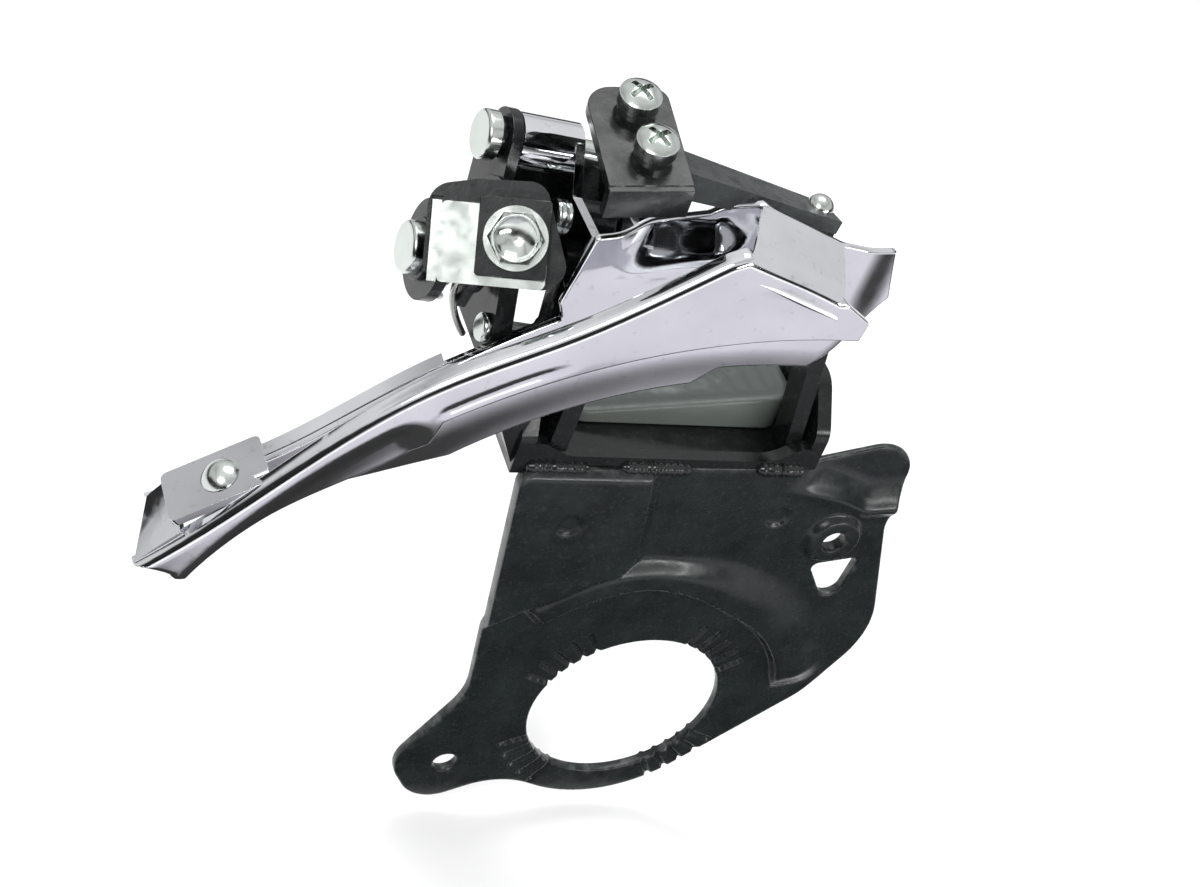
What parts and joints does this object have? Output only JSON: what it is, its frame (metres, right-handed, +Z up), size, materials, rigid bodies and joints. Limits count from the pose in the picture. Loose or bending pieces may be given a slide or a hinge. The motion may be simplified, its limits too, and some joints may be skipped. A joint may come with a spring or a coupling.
{
  "type": "bicycle front derailleur",
  "caption": "Front derailleur on a bottom-bracket plate: chain cage on a four-bar linkage with cable arm, limit screws and pad.",
  "frame": {"origin": "centre of the bottom-bracket hole, in the mounting plate's outer face", "axes": "+X to the front of the bicycle, +Y inwards to the seat tube along the hole's axis, +Z up"},
  "size_m": [0.1378, 0.0367, 0.1468],
  "materials": {
    "plate_black": "satin black coating over pressed steel",
    "bracket_black": "satin black coating over folded steel",
    "weld_black": "coated weld bead",
    "pad_grey": "moulded grey plastic",
    "cover_grey": "satin grey coating",
    "chrome": "bright plated pressed steel",
    "zinc": "bright zinc plated fastener",
    "arm_black": "satin black coating",
    "spring_steel": "oiled spring wire"
  },
  "bodies": {
    "base": {"bb_plate": "plate_black", "linkage_bracket": "bracket_black", "front_post": "bracket_black", "weld_beads": "weld_black", "frame_pad": "pad_grey", "limit_screw_plate": "bracket_black", "cover_blade": "cover_grey", "cover_rivet": "zinc", "lower_inner_pin": "zinc", "lower_outer_pin": "zinc", "lower_inner_clip": "spring_steel", "lower_outer_clip": "spring_steel", "pin_washer": "arm_black", "return_spring": "spring_steel"},
    "inner_arm": {"inner_link": "arm_black", "cable_arm": "arm_black", "cable_nut": "zinc", "upper_inner_pin": "zinc", "upper_inner_clip": "spring_steel", "upper_bush": "arm_black"},
    "outer_arm": {"outer_link": "arm_black"},
    "cage": {"outer_cage_plate": "chrome", "inner_cage_plate": "chrome", "tail_bridge": "chrome", "tail_fold": "chrome", "tail_rivet": "zinc", "upper_outer_pin": "zinc"},
    "low_screw": {"low_limit_screw": "zinc"},
    "high_screw": {"high_limit_screw": "zinc"},
    "cable_clamp": {"cable_bolt": "zinc", "clamp_washer": "arm_black", "cable_clamp_plate": "zinc"}
  },
  "joints": [
    {"name": "inner_pivot", "type": "hinge", "parent": "base", "child": "inner_arm", "pos_m": [-0.046, 0.0095, 0.0899], "axis": [0.9945, 0, -0.1045], "range_deg": [0, 48], "stiffness_Nm_per_rad": 0.05, "springref_deg": -5.73, "deforming": ["return_spring"]},
    {"name": "outer_pivot", "type": "hinge", "parent": "base", "child": "outer_arm", "pos_m": [-0.04669, 0.002, 0.08334], "axis": [0.9945, 0, -0.1045], "range_deg": [0, 48]},
    {"name": "cage_pivot", "type": "hinge", "parent": "inner_arm", "child": "cage", "pos_m": [-0.04424, 0.016, 0.10661], "axis": [0.9945, 0, -0.1045], "range_deg": [-48, 0]},
    {"name": "low_screw_slide", "type": "slide", "parent": "base", "child": "low_screw", "axis": [-0.141, -0.1851, 0.9726], "range_m": [0, 0.003]},
    {"name": "high_screw_slide", "type": "slide", "parent": "base", "child": "high_screw", "axis": [-0.141, -0.1851, 0.9726], "range_m": [0, 0.003]},
    {"name": "cable_clamp_slide", "type": "slide", "parent": "inner_arm", "child": "cable_clamp", "axis": [-0.3614, -0.7382, 0.5696], "range_m": [0, 0.0015]}
  ],
  "couplings": [
    {"joint": "outer_pivot", "follows": "inner_pivot", "ratio": 1},
    {"joint": "cage_pivot", "follows": "inner_pivot", "ratio": -1}
  ]
}
